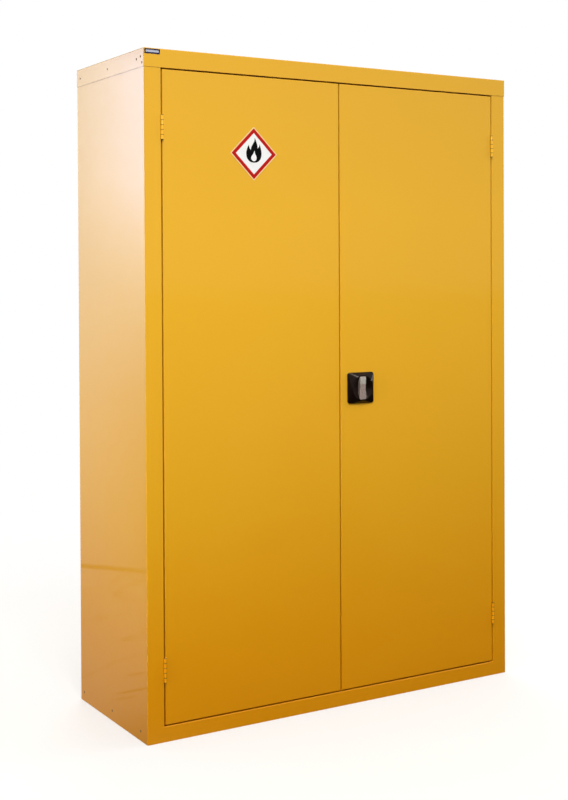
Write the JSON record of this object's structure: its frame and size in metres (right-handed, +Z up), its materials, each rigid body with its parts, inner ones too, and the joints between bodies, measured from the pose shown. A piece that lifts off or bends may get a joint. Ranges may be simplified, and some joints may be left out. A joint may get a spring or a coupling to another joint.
{
  "type": "flammable storage cabinet",
  "caption": "Tall folded-steel cabinet with paired doors for flammable liquids, with tray shelves, a leak-catching sump and a turn-bar lock that drives rods up and down.",
  "frame": {"origin": "centre of the base on the floor, on the crown of the stiffener under the floor pan", "axes": "+Z up, +X to the right when facing the doors, the doors face -Y"},
  "size_m": [1.2222, 0.4737, 1.83],
  "materials": {
    "body_powder_coat": "gloss yellow powder coat",
    "door_powder_coat": "gloss yellow powder coat",
    "shelf_powder_coat": "semi-gloss yellow powder coat",
    "upright_paint": "semi-gloss yellow powder coat",
    "hinge_paint": "gloss yellow powder coat over steel",
    "rivet_paint": "painted over",
    "zinc_plate": "bright zinc plate",
    "satin_diecast": "satin die-cast",
    "plug_chrome": "bright",
    "black_moulding": "gloss black",
    "buffer_rubber": "matt",
    "badge_film": "printed film, blank",
    "sign_film": "printed film"
  },
  "bodies": {
    "cabinet": {"top_cap": "body_powder_coat", "left_side_panel": "body_powder_coat", "right_side_panel": "body_powder_coat", "back_panel": "body_powder_coat", "floor_pan": "body_powder_coat", "base_stiffener": "body_powder_coat", "header_channel": "body_powder_coat", "threshold_rail": "body_powder_coat", "left_front_upright": "upright_paint", "left_rear_upright": "upright_paint", "right_front_upright": "upright_paint", "right_rear_upright": "upright_paint", "lower_shelf_clips": "zinc_plate", "middle_shelf_clips": "zinc_plate", "upper_shelf_clips": "zinc_plate", "top_cap_rivets": "rivet_paint", "base_rivets": "rivet_paint", "back_panel_rivets": "rivet_paint", "door_buffers": "buffer_rubber", "blank_badge": "badge_film", "lower_left_hinge_frame_leaf": "hinge_paint", "lower_left_hinge_pin": "hinge_paint", "lower_right_hinge_frame_leaf": "hinge_paint", "lower_right_hinge_pin": "hinge_paint", "upper_left_hinge_frame_leaf": "hinge_paint", "upper_left_hinge_pin": "hinge_paint", "upper_right_hinge_frame_leaf": "hinge_paint", "upper_right_hinge_pin": "hinge_paint"},
    "left_door": {"left_door_panel": "door_powder_coat", "left_door_stiffener": "door_powder_coat", "hazard_label": "sign_film", "lower_left_hinge_door_leaf": "hinge_paint", "upper_left_hinge_door_leaf": "hinge_paint"},
    "right_door": {"right_door_panel": "door_powder_coat", "right_door_stiffener": "door_powder_coat", "lock_escutcheon": "black_moulding", "lock_housing": "zinc_plate", "escutcheon_screws": "zinc_plate", "upper_rod_guides": "zinc_plate", "lower_rod_guides": "zinc_plate", "lower_right_hinge_door_leaf": "hinge_paint", "upper_right_hinge_door_leaf": "hinge_paint"},
    "lever": {"turn_lever": "satin_diecast", "plug_cover": "satin_diecast", "spindle": "zinc_plate", "cam_plate": "zinc_plate", "cam_washer": "zinc_plate", "cam_nut": "zinc_plate", "cam_pin_washers": "zinc_plate"},
    "key_barrel": {"key_plug": "plug_chrome"},
    "upper_lock_rod": {"upper_rod": "zinc_plate"},
    "lower_lock_rod": {"lower_rod": "zinc_plate"},
    "upper_tray_shelf": {"upper_shelf": "shelf_powder_coat"},
    "middle_tray_shelf": {"middle_shelf": "shelf_powder_coat"},
    "lower_tray_shelf": {"lower_shelf": "shelf_powder_coat"},
    "sump": {"sump_tray": "shelf_powder_coat"}
  },
  "joints": [
    {"name": "left_door_swing", "type": "hinge", "parent": "cabinet", "child": "left_door", "pos_m": [-0.558, -0.2303, 0.90775], "axis": [0, 0, -1], "range_deg": [0, 180]},
    {"name": "right_door_swing", "type": "hinge", "parent": "cabinet", "child": "right_door", "pos_m": [0.558, -0.2303, 0.90775], "axis": [0, 0, 1], "range_deg": [0, 180]},
    {"name": "lever_turn", "type": "hinge", "parent": "right_door", "child": "lever", "pos_m": [0.069, -0.2273, 0.9085], "axis": [0, -1, 0], "range_deg": [0, 90]},
    {"name": "key_turn", "type": "hinge", "parent": "lever", "child": "key_barrel", "pos_m": [0.069, -0.2273, 0.9295], "axis": [0, -1, 0], "range_deg": [0, 90]},
    {"name": "upper_rod_slide", "type": "slide", "parent": "right_door", "child": "upper_lock_rod", "axis": [0, 0, 1], "range_m": [0, 0.034]},
    {"name": "lower_rod_slide", "type": "slide", "parent": "right_door", "child": "lower_lock_rod", "axis": [0, 0, -1], "range_m": [0, 0.034]},
    {"name": "upper_shelf_lift", "type": "slide", "parent": "cabinet", "child": "upper_tray_shelf", "axis": [0, 0, 1], "range_m": [0, 0.012]},
    {"name": "middle_shelf_lift", "type": "slide", "parent": "cabinet", "child": "middle_tray_shelf", "axis": [0, 0, 1], "range_m": [0, 0.012]},
    {"name": "lower_shelf_lift", "type": "slide", "parent": "cabinet", "child": "lower_tray_shelf", "axis": [0, 0, 1], "range_m": [0, 0.012]},
    {"name": "sump_tray_lift", "type": "slide", "parent": "cabinet", "child": "sump", "axis": [0, 0, 1], "range_m": [0, 0.03]}
  ],
  "couplings": [
    {"joint": "upper_rod_slide", "follows": "lever_turn", "m_per_rad": 0.0216},
    {"joint": "lower_rod_slide", "follows": "lever_turn", "m_per_rad": 0.0216}
  ]
}
